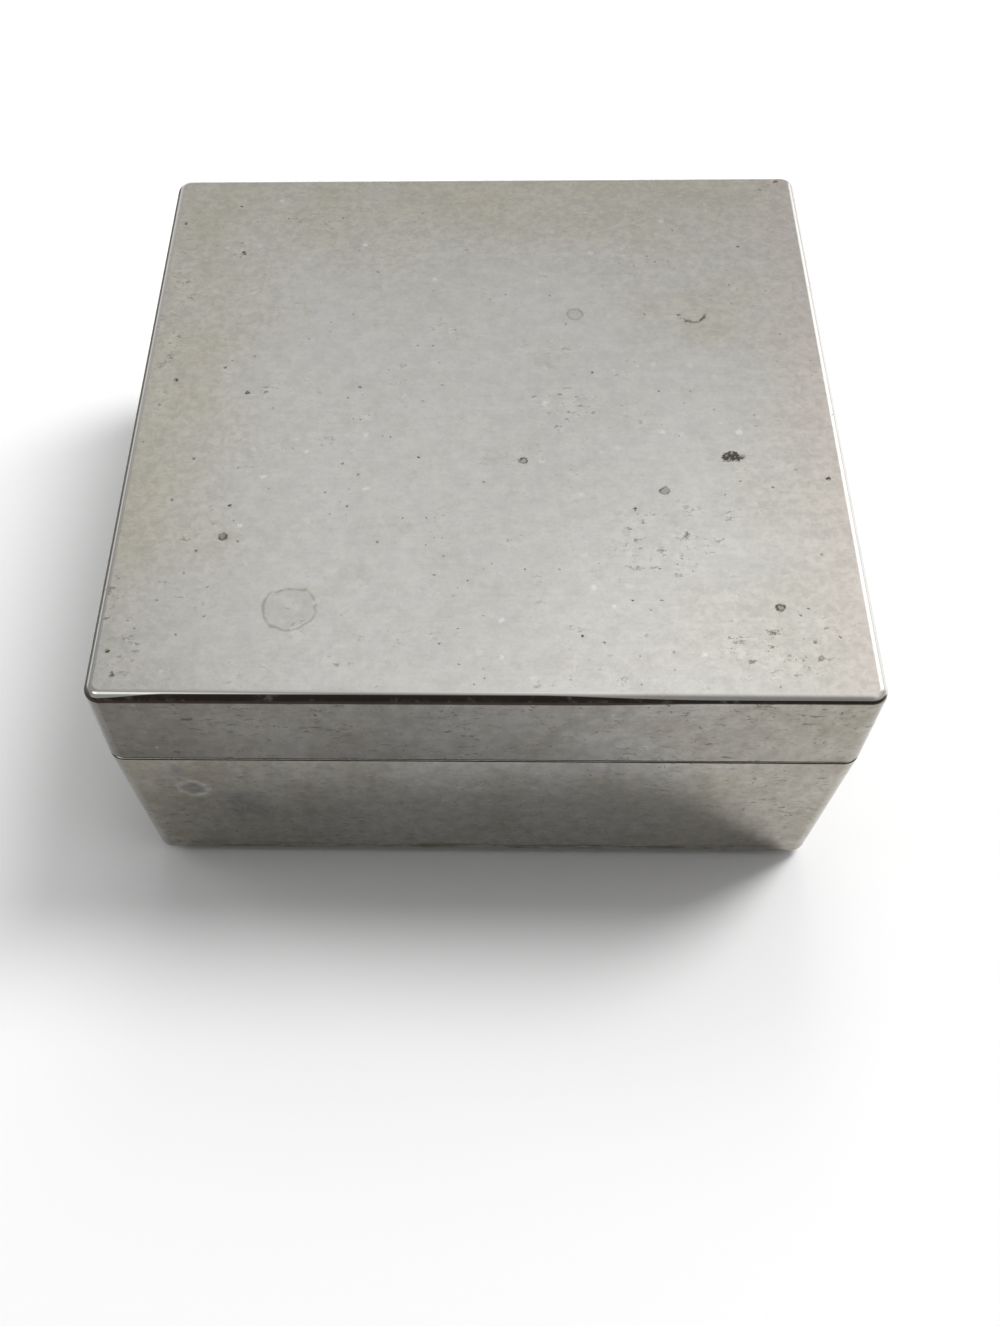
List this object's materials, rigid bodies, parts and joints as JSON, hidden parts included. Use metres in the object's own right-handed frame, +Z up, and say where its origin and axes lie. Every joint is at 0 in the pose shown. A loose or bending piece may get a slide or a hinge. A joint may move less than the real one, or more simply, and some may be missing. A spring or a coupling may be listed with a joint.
{
  "type": "trinket box",
  "caption": "Nearly square plated metal trinket box with a hinged lid, straight lid walls, tapered base walls, a rolled rear hinge, a velvet lining and a felt underside.",
  "frame": {"origin": "middle of the underside, on the surface that the box stands on", "axes": "+Z up, -Y towards the front, +Y towards the hinge, +X to the right seen from the front"},
  "size_m": [0.102, 0.105, 0.044],
  "materials": {
    "silver_plate": "dulled silver plate, pitted and tarnished",
    "hinge_metal": "plated, rolled sheet",
    "pin_wire": "drawn wire",
    "velvet": "short pile velvet",
    "felt": "pressed felt",
    "card": "grey card"
  },
  "bodies": {
    "base": {"base_shell": "silver_plate", "base_felt": "felt", "base_front_lining": "velvet", "base_rear_lining": "velvet", "base_left_lining": "velvet", "base_right_lining": "velvet", "base_floor_board": "card", "base_floor_pad": "velvet", "hinge_base_leaf": "hinge_metal", "hinge_pin": "pin_wire"},
    "lid": {"lid_shell": "silver_plate", "lid_front_lining": "velvet", "lid_rear_lining": "velvet", "lid_left_lining": "velvet", "lid_right_lining": "velvet", "lid_pad_board": "card", "lid_pad": "velvet", "hinge_lid_leaf": "hinge_metal"}
  },
  "joints": [
    {"name": "lid_hinge", "type": "hinge", "parent": "base", "child": "lid", "pos_m": [0, 0.05115, 0.02935], "axis": [-1, 0, 0], "range_deg": [0, 100]}
  ]
}
